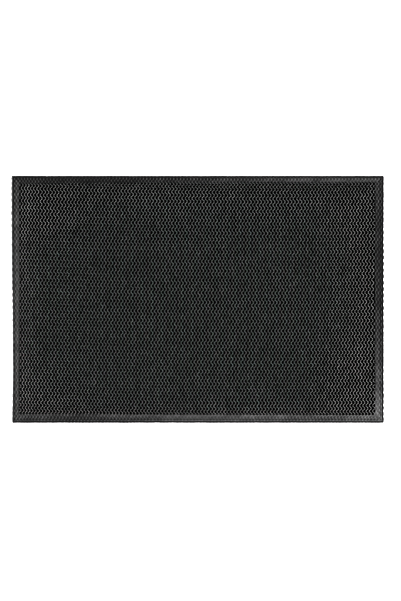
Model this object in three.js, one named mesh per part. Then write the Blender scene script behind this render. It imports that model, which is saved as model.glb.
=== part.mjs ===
// A black zigzag-strand door mat, in millimetres, +Z up.
// The origin is at the middle of its underside, and its long side runs along X.
//
// The mat is netting made of two layers of soft PVC strands that run from front to rear. Each strand
// zigzags from side to side, the lower ones opposite to the upper ones and half a pitch across from
// them, and the two layers are welded where they cross. Hot bars press the net's four edges into a
// thin flat rim with mitred corners.
// Four neighbouring strands of one layer make one node here, as a plain slab. A real strand is 2.3
// wide and swings 3.2 from side to side, so it fills all of its pitch and the zigzags nest.

import * as THREE from "three";

// Driving dimensions
const MAT_LENGTH = 600; // along X
const MAT_DEPTH = 400; // along Y
const MAT_THICKNESS = 5; // two layers of strands
const RIM_WIDTH = 13;
const RIM_THICKNESS = 2.6;
const RIM_EDGE = 1; // height of the rim's cut outer face
const RIM_BEVEL = 3; // width of the slope from that face up to the rim's flat
const STRAND_PITCH = 5.41; // from one strand to the next of its layer
const UPPER_STRANDS = 106; // between the side rims
const LOWER_STRANDS = 107; // the first and last are half inside the side rims
const STRANDS_PER_BAND = 4;
const BAND_GAP = 0.1; // between two bands of a layer

// Sizes that follow from them
const LAYER_HEIGHT = MAT_THICKNESS / 2;
const STRAND_ROOM = STRAND_PITCH - BAND_GAP; // the width that one strand takes up in a band
const NET_HALF_LENGTH = MAT_LENGTH / 2 - RIM_WIDTH;
const NET_HALF_DEPTH = MAT_DEPTH / 2 - RIM_WIDTH;

const strandPvc = new THREE.MeshStandardMaterial({ color: 0x1b1b1d, roughness: 0.45, metalness: 0 });
const rimPvc = new THREE.MeshStandardMaterial({ color: 0x202022, roughness: 0.5, metalness: 0 });

// One side of the rim: its section, pushed along X, with ends cut back at 45 degrees for the mitres.
// The outer edge lies at y = -outerEdge, and halfRun is half its length there.
function rimSide(halfRun, outerEdge) {
  const section = new THREE.Shape([
    new THREE.Vector2(0, 0),
    new THREE.Vector2(RIM_WIDTH, 0),
    new THREE.Vector2(RIM_WIDTH, RIM_THICKNESS),
    new THREE.Vector2(RIM_BEVEL, RIM_THICKNESS),
    new THREE.Vector2(0, RIM_EDGE),
  ]);
  const geometry = new THREE.ExtrudeGeometry(section, { depth: 1, bevelEnabled: false });
  const position = geometry.getAttribute("position");
  for (let i = 0; i < position.count; i++) {
    const inset = position.getX(i);
    const height = position.getY(i);
    const end = position.getZ(i) > 0 ? 1 : -1;
    position.setXYZ(i, end * (halfRun - inset), inset - outerEdge, height);
  }
  geometry.computeVertexNormals();
  return geometry;
}

// The four sides of the rim, in quarter turns from the front one.
function addRim(mat) {
  ["rim_front", "rim_right", "rim_rear", "rim_left"].forEach((name, quarter) => {
    const alongX = quarter % 2 === 0;
    const halfRun = (alongX ? MAT_LENGTH : MAT_DEPTH) / 2;
    const outerEdge = (alongX ? MAT_DEPTH : MAT_LENGTH) / 2;
    const side = new THREE.Mesh(rimSide(halfRun, outerEdge), rimPvc);
    side.name = name;
    side.rotation.z = (quarter * Math.PI) / 2;
    mat.add(side);
  });
}

// One layer of strands, as bands side by side from left to right. The last band takes what is left.
function addLayer(mat, layerName, strandCount, bottom) {
  const firstStrandX = (-(strandCount - 1) / 2) * STRAND_PITCH;
  for (let first = 0, band = 1; first < strandCount; first += STRANDS_PER_BAND, band++) {
    const last = Math.min(first + STRANDS_PER_BAND, strandCount) - 1;
    const leftOfFirst = firstStrandX + first * STRAND_PITCH - STRAND_ROOM / 2;
    const rightOfLast = firstStrandX + last * STRAND_PITCH + STRAND_ROOM / 2;
    const left = Math.max(leftOfFirst, -NET_HALF_LENGTH);
    const right = Math.min(rightOfLast, NET_HALF_LENGTH);
    const slab = new THREE.BoxGeometry(right - left, 2 * NET_HALF_DEPTH, LAYER_HEIGHT);
    const strands = new THREE.Mesh(slab, strandPvc);
    strands.name = `${layerName}_strands_${String(band).padStart(2, "0")}`;
    strands.position.set((left + right) / 2, 0, bottom + LAYER_HEIGHT / 2);
    mat.add(strands);
  }
}

const group = new THREE.Group();
addRim(group);
addLayer(group, "lower", LOWER_STRANDS, 0);
addLayer(group, "upper", UPPER_STRANDS, LAYER_HEIGHT);

export default group;
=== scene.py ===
"""The looks of the zigzag-strand door mat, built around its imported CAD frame.

The mat's lengths are in millimetres up to make_piece, which turns them into Blender's metres. The
net's strands, the rim's relief and the rim's wavy inner edges all come from one description of the
net's wave.
"""

import math

import bpy
import numpy as np
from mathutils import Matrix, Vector


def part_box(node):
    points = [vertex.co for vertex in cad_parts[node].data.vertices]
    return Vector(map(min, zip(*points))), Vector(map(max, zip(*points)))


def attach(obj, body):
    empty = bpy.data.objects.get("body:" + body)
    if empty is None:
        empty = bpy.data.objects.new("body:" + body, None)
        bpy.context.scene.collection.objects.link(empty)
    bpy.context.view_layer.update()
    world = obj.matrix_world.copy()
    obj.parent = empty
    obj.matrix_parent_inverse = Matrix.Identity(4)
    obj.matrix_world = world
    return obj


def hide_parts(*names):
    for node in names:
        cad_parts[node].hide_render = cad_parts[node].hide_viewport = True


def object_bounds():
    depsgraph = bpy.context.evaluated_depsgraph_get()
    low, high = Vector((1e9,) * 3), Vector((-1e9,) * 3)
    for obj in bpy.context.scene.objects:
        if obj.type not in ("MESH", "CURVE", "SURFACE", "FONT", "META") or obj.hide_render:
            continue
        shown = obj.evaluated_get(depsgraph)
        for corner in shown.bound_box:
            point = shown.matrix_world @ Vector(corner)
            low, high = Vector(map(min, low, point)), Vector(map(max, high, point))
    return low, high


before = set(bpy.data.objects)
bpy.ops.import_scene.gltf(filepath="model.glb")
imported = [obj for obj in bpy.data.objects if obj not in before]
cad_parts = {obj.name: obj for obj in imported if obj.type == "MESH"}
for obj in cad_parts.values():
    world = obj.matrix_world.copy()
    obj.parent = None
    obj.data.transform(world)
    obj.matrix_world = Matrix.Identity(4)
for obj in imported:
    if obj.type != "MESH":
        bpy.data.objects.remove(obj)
CAD_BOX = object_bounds()

MM = 0.001
RNG = np.random.default_rng(41)

# ---- The net, in millimetres -------------------------------------------------------------------
PITCH = 5.41  # from one strand to the next of its layer
HALF_WAVE = 5.075  # from one bend of a strand to its next
WAVE_SHIFT = 5.08  # moves the rows of bends along the strands
STRAND_ROOM = 5.31  # width that one strand takes up in its CAD slab
HALF_HEIGHT = 1.3  # of a strand's section

# Through the strands' height-based colour, sag and weld_sink also paint those places darker, as painted
# shade.
# swing: how far a strand's centre line goes to each side. The two layers swing opposite ways.
# squareness: 0 is a sine wave; more makes straighter runs and steeper crossings.
# half_width: measured along X. The die slides sideways, so this stays the same.
# z: height of the centre line. sag: how much lower it hangs between two welds.
# weld_sink: how much lower it is pressed at each weld.
# rim_drop, rim_thinning: what its height and its half height lose where the rim holds it.
# steps: where a strand has rings of points between one bend, 0, and its next, 1.
# sides: how many points a ring has.
LAYERS = {
    "upper": {
        "swing": 1.62,
        "squareness": 0.13,
        "half_width": 1.14,
        "z": 3.7,
        "sag": 0.2,
        "weld_sink": 0.55,
        "rim_drop": 3.2,
        "rim_thinning": 0.5,
        "steps": [0, 0.13, 0.3, 0.5, 0.7, 0.87],
        "sides": 8,
    },
    "lower": {
        "swing": -1.37,
        "squareness": 0.25,
        "half_width": 0.82,
        "z": 1.1,
        "sag": 0.1,
        "weld_sink": 0.0,
        "rim_drop": 0.5,
        "rim_thinning": 0.7,
        "steps": [0, 0.2, 0.4, 0.6, 0.8],
        "sides": 6,
    },
}
FIRST_UPPER = 0.5  # an upper strand lies this many pitches from mid-mat
FIRST_LOWER = 0.0  # and a lower one this many

# The net was pulled by hand before its edges were pressed, so it lies a little askew.
NET_LEFT = 1.0  # the whole net lies this far to the left
NET_BACK = 0.5  # and this far to the rear
LEAN = 1.5  # a strand at mid-mat leans this far to the right by the rear edge, and left by the front
LEAN_GAIN = 2.5  # the lean is this much more at the right end, and less at the left
ROW_SLANT = 3.0  # a row of bends lies this far to the front at its right end, and to the rear at its left
ROW_BOW = 4.0  # and both its ends are bowed this far to the rear
# How far each pressing bar pushed the net in, and how far in from the edge that is felt.
BAR_PUSH = {
    "rim_front": (3.0, 30),
    "rim_right": (1.5, 100),
    "rim_rear": (5.0, 26),
    "rim_left": (3.0, 45),
}

BEND_JITTER = 0.06  # how far a bend is mostly off across the strand, as a share of the swing
ROW_JITTER = 0.09  # and how far along it, in millimetres
WIDTH_JITTER = 0.07  # share of its width that a strand mostly varies by
WOBBLE_RINGS = 10  # and over how many rings
WELD_SHARPNESS = 8  # more makes the dips at the welds narrower

OVERRUN = 2  # strands are laid out at least this far past the mat's edges, and then cut in the rim
# By how far they have come beyond the open net:
PRESS_FROM = -0.6  # they start to be pressed down
PRESS_TO = 0.9  # they are fully pressed
STRAND_END = 1.0  # they are cut
PRESS_SPREAD = 0.2  # share of its width that a strand gains by the pressing

# ---- The rim, in millimetres -------------------------------------------------------------------
# (distance in from the outer edge, height of the plate there)
RIM_SECTION = [
    (0.0, 0.5),
    (0.3, 1.0),
    (0.8, 1.15),
    (1.2, 0.9),
    (1.6, 0.35),
    (2.2, 0.4),
    (2.7, 0.8),
    (3.2, 1.5),
    (4.2, 1.6),
    (5.0, 1.7),
    (11.0, 2.0),
    (13.0, 2.3),
]
RIM_STEP = 0.55  # spacing of the rim's points along it
FLAT_FROM = 3.4  # across it they are those of the section up to here, and then evenly spaced
FLAT_STEP = 0.45
LAST_STEP = 0.35  # but for the last two, of which this is the last
# lifts, fringe and relief also set, through the rim's height-based colour, where the rim is painted paler,
# as painted light, or near-black, as painted shade.
# How the bars pressed each side. Each list runs evenly from its -X or -Y end to the other.
# wider: how much further in than nominal the filled part reaches.
# lifts: the height added to the section. fringe: the same for about its outermost 2 mm.
# relief: how high the pressed strands stand over the filled holes.
# dots: from 0, where the whole zigzags show, to 1, where only their crossings do.
# smear: how far to -X or -Y the bars dragged the strands by the outer edge, from none at the inner one.
# lip and groove: the height of the bar's line near the outer edge, and the depth just inside it.
RIM_SIDES = {
    "rim_front": {
        "wider": [2.4, 1.6, 1.0, 0.6],
        "lifts": [0.0, -0.25, 0.0, 0.25, 0.25, 0.1, 0.5],
        "fringe": 0.6,
        "relief": [0.9, 1.0, 0.7, 0.4, 0.7, 0.9, 0.8],
        "dots": 0.05,
        "smear": [0.0, -1.5, 2.0, 5.0],
        "lip": 0.7,
        "groove": 0.4,
    },
    "rim_right": {
        "wider": [1.0],
        "lifts": [0.7, 0.25, -0.05, -0.3, -0.45, -0.25, 0.0],
        "fringe": 0.0,
        "relief": [0.7, 0.8, 1.0, 1.0, 1.1, 1.2, 1.4],
        "dots": 0.1,
        "smear": [-5.0, -3.0, 1.5, 2.5, 2.0, 1.0, 0.0],
        "lip": 0.35,
        "groove": 0.35,
    },
    "rim_rear": {
        "wider": [0.0, -1.6, -2.0, -1.8],
        "lifts": [-0.2, -0.4, -0.1, 0.2, 0.45, 0.25],
        "fringe": 0.0,
        "relief": [1.0, 1.2, 1.3, 1.2, 0.8],
        "dots": 0.6,
        "smear": [0.0],
        "lip": 0.0,
        "groove": 0.0,
    },
    "rim_left": {
        "wider": [-1.6],
        "lifts": [0.15, 0.35, 0.35, 0.3, 0.1],
        "fringe": 1.6,
        "relief": [0.9],
        "dots": 0.3,
        "smear": [0.0],
        "lip": 0.0,
        "groove": 0.0,
    },
}
# For each side in that order, which is anticlockwise round the mat: how much wider than nominal the
# side before it and the side after it are where they meet it.
RIM_ENDS = [
    (RIM_SIDES["rim_left"]["wider"][0], RIM_SIDES["rim_right"]["wider"][0]),
    (RIM_SIDES["rim_front"]["wider"][-1], RIM_SIDES["rim_rear"]["wider"][-1]),
    (RIM_SIDES["rim_right"]["wider"][-1], RIM_SIDES["rim_left"]["wider"][-1]),
    (RIM_SIDES["rim_rear"]["wider"][0], RIM_SIDES["rim_front"]["wider"][0]),
]
LIP_INSET = 3.8
GROOVE_INSET = 5.4
LINE_HALF_WIDTH = 0.7
RELIEF_ZONE = (0.3, 3)  # relief and lifts fade in between these distances from the outer edge
FRINGE_ZONE = (1.5, 3)  # and the fringe fades out between these
RIDGE_HALF_WIDTH = 1.0  # of a strand pressed into the rim
UPPER_RELIEF = 0.8  # an upper strand's share of the relief, a lower one's, and a crossing's
LOWER_RELIEF = 0.3
DOT_RELIEF = 1.3
RELIEF_LEVEL = 0.4  # share of the relief that lies below the section's height
DOT_LEVEL = 0.1  # this much less with full dots
RIM_ROUGHNESS = 0.1  # height of the rim's random unevenness
RIM_THINNEST = 0.25

INNER_ZONE = 3  # the inner edge's shape is felt this far out from it
SCALLOP_BACK = 0.3  # between two strands it lies this far out
SCALLOP = 0.5  # and at a strand this much further in than that
SCALLOP_NOISE = 0.2
SCALLOP_FADE = 0.06  # the scallops fade out at the corners, where mid_side is below this
OUTER_ZONE = 2.2  # the outer edge's shape is felt this far in from it
NOTCH = 0.28  # how far it is notched between two strands
NOTCH_NOISE = 0.1
NOTCH_FADE = 0.2  # power of mid_side: the less, the closer to the corners the notches fade out
SIDE_WAVE = 0.25  # how far the short sides' outer edges follow the upper strands' swing

# The mat isn't cut quite true: how far the left edge lies in from nominal at each y, and the others.
LEFT_EDGE = [(-200, -0.2), (-115, 1.0), (-20, 0.4), (60, -0.9), (130, -1.3), (200, -1.3)]
RIGHT_EDGE_OUT = 0.3
LONG_EDGES_IN = 0.45

CAD_LO, CAD_HI = (np.array(corner) / MM for corner in CAD_BOX)
HALF_X = (CAD_HI[0] - CAD_LO[0]) / 2
HALF_Y = (CAD_HI[1] - CAD_LO[1]) / 2
RIM_WIDTH = (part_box("rim_front")[1][1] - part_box("rim_front")[0][1]) / MM


def smooth_step(value, low, high):
    t = np.clip((value - low) / (high - low), 0, 1)
    return t * t * (3 - 2 * t)


def smooth_noise(longest, shortest, count):
    """A smooth random field over the mat, about -1 to 1, of so many waves between two lengths."""
    lengths = np.exp(RNG.uniform(math.log(shortest), math.log(longest), count))
    turns = RNG.uniform(0, 2 * math.pi, count)
    phases = RNG.uniform(0, 2 * math.pi, count)
    kx = 2 * math.pi / lengths * np.cos(turns)
    ky = 2 * math.pi / lengths * np.sin(turns)

    def field(x, y):
        total = np.zeros(np.broadcast(x, y).shape)
        for a, b, c in zip(kx, ky, phases):
            total += np.cos(a * x + b * y + c)
        return total / math.sqrt(count)

    return field


def smooth_wobble(count):
    """A smooth random row of numbers, mostly -1 to 1, that changes over a bend or two."""
    knots = RNG.standard_normal(count // WOBBLE_RINGS + 2)
    return np.interp(np.arange(count) / WOBBLE_RINGS, np.arange(len(knots)), knots)


def along_side(values, place, half_run):
    """A value that varies along a side of the mat, from an even list of it."""
    return np.interp(place / half_run, np.linspace(-1, 1, len(values)), values)


def rim_reach(node, place):
    """How far in from the mat's nominal outer edge one side of the rim reaches, at a place along it."""
    half_run = HALF_X if node in ("rim_front", "rim_rear") else HALF_Y
    return RIM_WIDTH + along_side(RIM_SIDES[node]["wider"], place, half_run)


def depth_in_rim(x, y):
    """How far beyond the open net a place is, in millimetres. It is below 0 in the open net."""
    depths = [
        rim_reach("rim_left", y) - HALF_X - x,
        rim_reach("rim_right", y) - HALF_X + x,
        rim_reach("rim_front", x) - HALF_Y - y,
        rim_reach("rim_rear", x) - HALF_Y + y,
    ]
    return np.max(depths, axis=0)


def pushed_in(node, inset):
    """How far one side's bar pushed the net in, at a distance in from the mat's edge there."""
    push, reach = BAR_PUSH[node]
    return push * (1 - smooth_step(inset, 0, reach))


def net_skew(x, y):
    """How far the real, hand-pulled net has moved from the ideal one at a place, along X and along Y."""
    u, v = x / HALF_X, y / HALF_Y
    along_x = (LEAN + LEAN_GAIN * u) * v - NET_LEFT
    along_x += pushed_in("rim_left", HALF_X + x) - pushed_in("rim_right", HALF_X - x)
    along_y = NET_BACK - ROW_SLANT * u + ROW_BOW * u**2
    along_y += pushed_in("rim_front", HALF_Y + y) - pushed_in("rim_rear", HALF_Y - y)
    return along_x, along_y


def net_place(x, y):
    """Moves points of the ideal net to where the real one has them."""
    skew_x, skew_y = net_skew(x, y)
    return x + skew_x, y + skew_y


def swing_share(t, squareness):
    """Where a strand's centre line is between two bends: 0 at the first, 1 at the second."""
    swing = np.cos(math.pi * t) - squareness * np.cos(3 * math.pi * t)
    return 0.5 - 0.5 * swing / (1 - squareness)


def wave(y, squareness):
    """The ideal strands' sideways swing at y, as a share of their layer's: from -1 to 1."""
    bends = (y - WAVE_SHIFT) / HALF_WAVE
    k = np.floor(bends)
    share = swing_share(bends - k, squareness)
    sign = np.where(k % 2 == 0, 1.0, -1.0)
    return sign * (1 - 2 * share)


# ---- Meshes ------------------------------------------------------------------------------------
def make_piece(name, points, faces, material, node):
    """A closed smooth mesh from points in millimetres, riding on the mat in place of its CAD node.
    faces is a list of arrays, each holding faces with the same number of corners."""
    mesh = bpy.data.meshes.new(name)
    sizes = np.concatenate([np.full(len(f), f.shape[1]) for f in faces])
    corners = np.concatenate([f.reshape(-1) for f in faces])
    mesh.vertices.add(len(points))
    mesh.vertices.foreach_set("co", (points * MM).astype(np.float32).reshape(-1))
    mesh.loops.add(len(corners))
    mesh.loops.foreach_set("vertex_index", corners.astype(np.int32))
    mesh.polygons.add(len(sizes))
    mesh.polygons.foreach_set("loop_start", (np.cumsum(sizes) - sizes).astype(np.int32))
    mesh.polygons.foreach_set("use_smooth", np.ones(len(sizes), dtype=bool))
    mesh.update(calc_edges=True)
    mesh.validate()
    mesh.materials.append(material)
    piece = bpy.data.objects.new(name, mesh)
    bpy.context.scene.collection.objects.link(piece)
    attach(piece, "root")
    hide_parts(node)


def tube_faces(rings, sides, first):
    """Quads and two end caps for a tube whose ring r holds points first + r * sides onwards."""
    ring = np.arange(rings - 1)[:, None] * sides
    side = np.arange(sides)[None, :]
    following = (side + 1) % sides
    quads = np.stack(
        [ring + side, ring + following, ring + sides + following, ring + sides + side],
        axis=-1,
    )
    caps = np.stack([np.arange(sides)[::-1], (rings - 1) * sides + np.arange(sides)])
    return first + quads.reshape(-1, 4), first + caps


# ---- Strands -----------------------------------------------------------------------------------
def strand_points(strand_x, layer):
    """The rings of one zigzag strand from front to rear, as an array of (rings, sides, 3). It is None
    for a strand that the rim would cover from end to end."""
    swing = layer["swing"]
    reach = HALF_Y + OVERRUN
    first = math.ceil((-reach - WAVE_SHIFT) / HALF_WAVE) - 1
    last = math.floor((reach - WAVE_SHIFT) / HALF_WAVE) + 1
    bends = np.arange(first, last + 1)
    side = np.where(bends % 2 == 0, swing, -swing)
    bend_x = strand_x + side * (1 + BEND_JITTER * RNG.standard_normal(len(bends)))
    bend_y = WAVE_SHIFT + HALF_WAVE * bends + ROW_JITTER * RNG.standard_normal(len(bends))
    t = np.array(layer["steps"])
    share = swing_share(t, layer["squareness"])
    x = (bend_x[:-1, None] + np.diff(bend_x)[:, None] * share[None, :]).reshape(-1)
    y = (bend_y[:-1, None] + np.diff(bend_y)[:, None] * t[None, :]).reshape(-1)
    x, y = net_place(x, y)
    outside = depth_in_rim(strand_x + net_skew(x, y)[0], y)
    if outside.min() > 0:
        return None
    in_net = np.flatnonzero(outside < STRAND_END)
    kept = slice(in_net[0], in_net[-1] + 1)
    x, y = x[kept], y[kept]
    between = np.tile(np.sin(math.pi * t) ** 2, len(bends) - 1)[kept]
    at_bend = np.tile(np.cos(math.pi * t) ** WELD_SHARPNESS, len(bends) - 1)[kept]

    pressed = smooth_step(depth_in_rim(x, y), PRESS_FROM, PRESS_TO)
    fat = 1 + WIDTH_JITTER * smooth_wobble(len(x))
    half_width = layer["half_width"] * fat * (1 + PRESS_SPREAD * pressed)
    half_height = HALF_HEIGHT - layer["rim_thinning"] * pressed
    z = layer["z"] - layer["sag"] * between - layer["weld_sink"] * at_bend
    z = z - layer["rim_drop"] * pressed
    # The rings are turned so that each has a point at its top.
    sides = layer["sides"]
    angle = 2 * math.pi * (np.arange(sides) + 0.5 * (sides % 4 != 0)) / sides
    wide = half_width[:, None] * np.cos(angle)[None, :]
    high = half_height[:, None] * np.sin(angle)[None, :]
    rings = [
        x[:, None] + wide,
        np.broadcast_to(y[:, None], wide.shape),
        np.maximum(z[:, None] + high, 0.0),
    ]
    return np.stack(rings, axis=-1)


def build_band(node, layer, material):
    """The real strands of one CAD band, which are as many as its width has room for. The first and
    last bands also get the strand beyond, where it comes out from under the rim."""
    low, high = (np.array(corner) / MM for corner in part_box(node))
    count = 1 + round((high[0] - low[0] - STRAND_ROOM) / PITCH)
    if low[0] + high[0] < 0:
        first_x = high[0] - STRAND_ROOM / 2 - (count - 1) * PITCH
    else:
        first_x = low[0] + STRAND_ROOM / 2
    strands = list(range(count))
    if low[0] < -HALF_X + RIM_WIDTH + PITCH:
        strands.insert(0, -1)
    if high[0] > HALF_X - RIM_WIDTH - PITCH:
        strands.append(count)
    points, quads, caps, used = [], [], [], 0
    for strand in strands:
        rings = strand_points(first_x + strand * PITCH, layer)
        if rings is None:
            continue
        tube_quads, tube_caps = tube_faces(len(rings), rings.shape[1], used)
        points.append(rings.reshape(-1, 3))
        quads.append(tube_quads)
        caps.append(tube_caps)
        used += rings.shape[0] * rings.shape[1]
    name = node.replace("strands", "zigzag")
    faces = [np.concatenate(quads), np.concatenate(caps)]
    make_piece(name, np.concatenate(points), faces, material, node)


# ---- Rim ---------------------------------------------------------------------------------------
rim_noise = smooth_noise(longest=60, shortest=7, count=24)
edge_noise = smooth_noise(longest=40, shortest=5, count=24)


def ridge(x, y, layer, first):
    """How close a point of the ideal net is to a strand's centre line: 1 on it and 0 far away."""
    off = (x - layer["swing"] * wave(y, layer["squareness"])) / PITCH - first
    off = (off - np.round(off)) * PITCH
    return np.exp(-((off / RIDGE_HALF_WIDTH) ** 2))


def strand_ridges(x, y):
    """How close a point is to an upper and to a lower strand's centre line."""
    skew_x, skew_y = net_skew(x, y)
    ideal_x, ideal_y = x - skew_x, y - skew_y
    upper = ridge(ideal_x, ideal_y, LAYERS["upper"], FIRST_UPPER)
    return upper, ridge(ideal_x, ideal_y, LAYERS["lower"], FIRST_LOWER)


def rim_insets():
    """Where the rim has points across it, as distances in from its outer edge."""
    edge = [inset for inset, _ in RIM_SECTION if inset < FLAT_FROM]
    flat = np.arange(FLAT_FROM, RIM_WIDTH - LAST_STEP, FLAT_STEP)
    return np.concatenate([edge, flat, [RIM_WIDTH - LAST_STEP, RIM_WIDTH]])


def build_rim(node, quarter, material):
    """One side of the rim: a closed section swept along it, with mitred ends. It is laid out as the
    front side and then turned by so many quarters."""
    side = RIM_SIDES[node]
    along_x = quarter % 2 == 0
    half_run, outer = (HALF_X, HALF_Y) if along_x else (HALF_Y, HALF_X)
    stations = int(2 * half_run / RIM_STEP)
    run = np.linspace(-half_run, half_run, stations)
    insets = rim_insets()
    heights = np.interp(insets, *zip(*RIM_SECTION))

    # Near the inner edge, this side and the two it meets are wider or narrower than nominal.
    inner = smooth_step(insets, RIM_WIDTH - INNER_ZONE, RIM_WIDTH)[None, :]
    before, after = RIM_ENDS[quarter]
    met_wider = np.where(run < 0, before, after)[:, None]
    a = run[:, None] * (1 - (insets[None, :] + met_wider * inner) / half_run)
    direction = 1 if quarter in (0, 1) else -1  # the rear and left sides run against their lists
    wider = along_side(side["wider"], direction * run, half_run)[:, None]
    b = insets[None, :] - outer + wider * inner
    turn = quarter * math.pi / 2
    c, s = round(math.cos(turn)), round(math.sin(turn))

    def to_mat(u, v):
        return c * u - s * v, s * u + c * v

    # The inner edge follows the strands that it holds, and the outer edge cuts across them.
    mid_side = np.clip(1 - (run / half_run) ** 2, 0, 1)[:, None]
    x, y = to_mat(a, b)
    strands = np.maximum(*strand_ridges(x, y))
    scallops = SCALLOP * strands - SCALLOP_BACK + SCALLOP_NOISE * edge_noise(x, y)
    b += inner * scallops * smooth_step(mid_side, 0, SCALLOP_FADE)
    outer_edge = (1 - smooth_step(insets, 0, OUTER_ZONE))[None, :] * mid_side**NOTCH_FADE
    b += outer_edge * (NOTCH * (1 - strands) + NOTCH_NOISE * edge_noise(x, y))
    x, y = to_mat(a, b)
    along = x if along_x else y
    dragged = along_side(side["smear"], along, half_run) * (insets[None, :] / RIM_WIDTH - 1)
    upper, lower = strand_ridges(x - dragged * along_x, y - dragged * (not along_x))
    if not along_x:
        swing = wave(y - net_skew(x, y)[1], LAYERS["upper"]["squareness"])
        x = x + SIDE_WAVE * swing * outer_edge
    x = x + np.interp(y, *zip(*LEFT_EDGE)) * np.clip(1 - (x + HALF_X) / RIM_WIDTH, 0, 1)
    x = x + RIGHT_EDGE_OUT * np.clip(1 - (HALF_X - x) / RIM_WIDTH, 0, 1)
    y = y - LONG_EDGES_IN * np.sign(y) * np.clip(1 - (HALF_Y - np.abs(y)) / RIM_WIDTH, 0, 1)

    dots = side["dots"]
    relief = (1 - dots) * (UPPER_RELIEF * upper + LOWER_RELIEF * lower)
    relief += DOT_RELIEF * dots * upper * lower
    raised = along_side(side["relief"], along, half_run) * (relief - RELIEF_LEVEL + DOT_LEVEL * dots)
    raised += along_side(side["lifts"], along, half_run)
    z = heights[None, :] + raised * smooth_step(insets, *RELIEF_ZONE)[None, :]
    for inset, rise in ((LIP_INSET, side["lip"]), (GROOVE_INSET, -side["groove"])):
        z += rise * np.exp(-(((insets - inset) / LINE_HALF_WIDTH) ** 2))[None, :]
    z += side["fringe"] * (1 - smooth_step(insets, *FRINGE_ZONE))[None, :]
    z += RIM_ROUGHNESS * rim_noise(x, y)
    z = np.maximum(z, RIM_THINNEST)

    top = np.stack([x, y, z], axis=-1)
    inner_foot = top[:, -1:, :] * [1, 1, 0]
    outer_foot = top[:, :1, :] * [1, 1, 0]
    rings = np.concatenate([outer_foot, top, inner_foot], axis=1)
    faces = tube_faces(stations, rings.shape[1], 0)
    name = node.replace("rim", "pressed_rim")
    make_piece(name, rings.reshape(-1, 3), faces, material, node)


# ---- Materials ---------------------------------------------------------------------------------
# Noise textures are given by their scale and detail.
# Noise that breaks up the paler colour of high parts, which is partly dust and scuffs and partly painted
# light.
DUST_AND_LIGHT_NOISE = (160, 4)
DUST_AND_LIGHT_SHARE = (0.75, 1.2)  # how much of the dust and painted light on high parts shows, from spot to spot
GLOSS_NOISE = (300, 3)
ROUGHNESS = (0.36, 0.52)
GRAIN_NOISE = (2500, 3)
GRAIN_STRENGTH = 0.25
NOISE_RANGE = (0.3, 0.7)  # where most of a noise texture's values lie


def grey(level):
    return (level, level, level, 1)


def pvc_material(name, shaded_black, dusty_and_lit, dusty_and_lit_from, dusty_and_lit_to, specular, grain):
    """Black flexible PVC with a fine grain. It is painted near-black down in the net, as painted shade, and
    paler from one height up to another, partly scuffs and a little dust and partly painted light. Those
    heights and the grain are in millimetres."""
    material = bpy.data.materials.new(name)
    material.use_nodes = True
    nodes, links = material.node_tree.nodes, material.node_tree.links
    shader = nodes["Principled BSDF"]
    shader.inputs["Specular IOR Level"].default_value = specular
    place = nodes.new("ShaderNodeTexCoord")

    def noise(scale, detail):
        node = nodes.new("ShaderNodeTexNoise")
        node.inputs["Scale"].default_value = scale
        node.inputs["Detail"].default_value = detail
        links.new(place.outputs["Object"], node.inputs["Vector"])
        return node.outputs["Fac"]

    def map_range(source, low, high, to_low, to_high):
        node = nodes.new("ShaderNodeMapRange")
        node.inputs["From Min"].default_value = low
        node.inputs["From Max"].default_value = high
        node.inputs["To Min"].default_value = to_low
        node.inputs["To Max"].default_value = to_high
        links.new(source, node.inputs["Value"])
        return node.outputs["Result"]

    height = nodes.new("ShaderNodeSeparateXYZ")
    links.new(place.outputs["Object"], height.inputs["Vector"])
    # The colour's mix by height: painted light and some dust on the highest parts, painted shade below them.
    dust_and_light = map_range(height.outputs["Z"], dusty_and_lit_from * MM, dusty_and_lit_to * MM, 0.0, 1.0)
    uneven = nodes.new("ShaderNodeMath")
    uneven.operation = "MULTIPLY"
    links.new(dust_and_light, uneven.inputs[0])
    links.new(map_range(noise(*DUST_AND_LIGHT_NOISE), *NOISE_RANGE, *DUST_AND_LIGHT_SHARE), uneven.inputs[1])
    colour = nodes.new("ShaderNodeMix")
    colour.data_type = "RGBA"
    colour.inputs["A"].default_value = grey(shaded_black)
    colour.inputs["B"].default_value = grey(dusty_and_lit)
    links.new(uneven.outputs["Value"], colour.inputs["Factor"])
    links.new(colour.outputs["Result"], shader.inputs["Base Color"])
    gloss = map_range(noise(*GLOSS_NOISE), *NOISE_RANGE, *ROUGHNESS)
    links.new(gloss, shader.inputs["Roughness"])
    bump = nodes.new("ShaderNodeBump")
    bump.inputs["Strength"].default_value = GRAIN_STRENGTH
    bump.inputs["Distance"].default_value = grain * MM
    links.new(noise(*GRAIN_NOISE), bump.inputs["Height"])
    links.new(bump.outputs["Normal"], shader.inputs["Normal"])
    return material


# The lower strands and the upper strands' flanks are painted near-black as painted shade; the upper strands'
# tops are painted paler, partly painted light and partly dust.
strand_pvc = pvc_material(
    "strand_pvc",
    shaded_black=0.0005,
    dusty_and_lit=0.088,
    dusty_and_lit_from=4.12,
    dusty_and_lit_to=5.0,
    specular=0.12,
    grain=0.12,
)
# The rim is painted near-black in its groove and low parts, as painted shade, and paler where it stands
# high, partly painted light and partly dust.
rim_pvc = pvc_material(
    "rim_pvc",
    shaded_black=0.002,
    dusty_and_lit=0.036,
    dusty_and_lit_from=1.4,
    dusty_and_lit_to=2.85,
    specular=0.14,
    grain=0.15,
)


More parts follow.
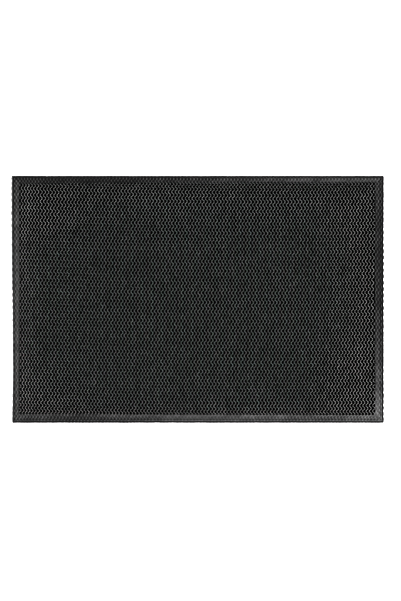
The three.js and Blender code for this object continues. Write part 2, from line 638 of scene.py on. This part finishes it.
# ---- Stage, in metres --------------------------------------------------------------------------
RING_FULL = 0.5  # sine of the height up to which the ring of light is at full strength
RING_NONE = 0.9  # and of the height from which the sky is as dark as straight above
LIGHT = 13.0  # scales all of the lights
RING_STRENGTH = 1.3 * LIGHT
ZENITH_STRENGTH = 0.3 * LIGHT
FRONT_POWER = 20 * LIGHT
FRONT_PLACE = (0.6, -2.2, 1.3)
FRONT_SIZE = (2.0, 0.9)
GAMMA = 0.46

LENS = 120  # in millimetres, as the sensor's width is
SENSOR_WIDTH = 36
FRAME_HEIGHT = 0.9713  # what the picture takes in from top to bottom
FRAME_MIDDLE = (0.00413, -0.0018)  # the place that it is centred on
CLIP_END = 20

FLOOR_HALF = 6
FLOOR_Z = -0.0004
CARD_Z = -0.0002
CARD_INSET = 4  # millimetres that the dark card under the mat stays inside its edges


def plain_material(name, level, roughness):
    material = bpy.data.materials.new(name)
    material.use_nodes = True
    shader = material.node_tree.nodes["Principled BSDF"]
    shader.inputs["Base Color"].default_value = grey(level)
    shader.inputs["Roughness"].default_value = roughness
    shader.inputs["Specular IOR Level"].default_value = 0.0
    return material


def add_plane(name, half_x, half_y, z, material):
    mesh = bpy.data.meshes.new(name)
    corners = [(-half_x, -half_y), (half_x, -half_y), (half_x, half_y), (-half_x, half_y)]
    mesh.from_pydata([(x, y, z) for x, y in corners], [], [(0, 1, 2, 3)])
    mesh.materials.append(material)
    plane = bpy.data.objects.new(name, mesh)
    bpy.context.scene.collection.objects.link(plane)


def add_area_light(name, place, size, power):
    """A soft rectangular light, aimed at the origin."""
    data = bpy.data.lights.new(name, "AREA")
    data.shape = "RECTANGLE"
    data.size, data.size_y = size
    data.energy = power
    lamp = bpy.data.objects.new(name, data)
    lamp.location = place
    lamp.rotation_euler = (-Vector(place)).to_track_quat("-Z", "Y").to_euler()
    bpy.context.scene.collection.objects.link(lamp)


def add_camera():
    """Straight above the mat, far enough off that the strands at the edges are hardly seen from the side."""
    data = bpy.data.cameras.new("camera")
    data.lens = LENS
    data.sensor_width = SENSOR_WIDTH
    data.clip_end = CLIP_END
    camera = bpy.data.objects.new("camera", data)
    camera.location = (*FRAME_MIDDLE, FRAME_HEIGHT * LENS / SENSOR_WIDTH)
    camera.rotation_euler = (0, 0, 0)
    bpy.context.scene.collection.objects.link(camera)
    bpy.context.scene.camera = camera


def light_stage():
    """A ring of soft white light all round and a dark sky straight above, with a brighter front."""
    world = bpy.data.worlds.new("studio")
    world.use_nodes = True
    nodes, links = world.node_tree.nodes, world.node_tree.links
    direction = nodes.new("ShaderNodeTexCoord")
    height = nodes.new("ShaderNodeSeparateXYZ")
    ring = nodes.new("ShaderNodeMapRange")
    ring.interpolation_type = "SMOOTHSTEP"
    ring.inputs["From Min"].default_value = RING_FULL
    ring.inputs["From Max"].default_value = RING_NONE
    ring.inputs["To Min"].default_value = RING_STRENGTH
    ring.inputs["To Max"].default_value = ZENITH_STRENGTH
    links.new(direction.outputs["Generated"], height.inputs["Vector"])
    links.new(height.outputs["Z"], ring.inputs["Value"])
    links.new(ring.outputs["Result"], nodes["Background"].inputs["Strength"])
    nodes["Background"].inputs["Color"].default_value = grey(1)
    bpy.context.scene.world = world
    add_area_light("front_light", FRONT_PLACE, FRONT_SIZE, FRONT_POWER)


add_camera()
light_stage()
floor_white = plain_material("floor_white", level=0.23, roughness=0.9)
card_black = plain_material("card_black", level=0.0, roughness=1.0)
add_plane("floor", FLOOR_HALF, FLOOR_HALF, FLOOR_Z, floor_white)
add_plane(
    "dark_card",
    (HALF_X - CARD_INSET) * MM,
    (HALF_Y - CARD_INSET) * MM,
    CARD_Z,
    card_black,
)
bpy.context.scene.view_settings.view_transform = "Standard"
bpy.context.scene.view_settings.gamma = GAMMA

for quarter, node in enumerate(RIM_SIDES):
    build_rim(node, quarter, rim_pvc)
for node in sorted(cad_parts):
    if "_strands_" in node:
        build_band(node, LAYERS[node.split("_")[0]], strand_pvc)
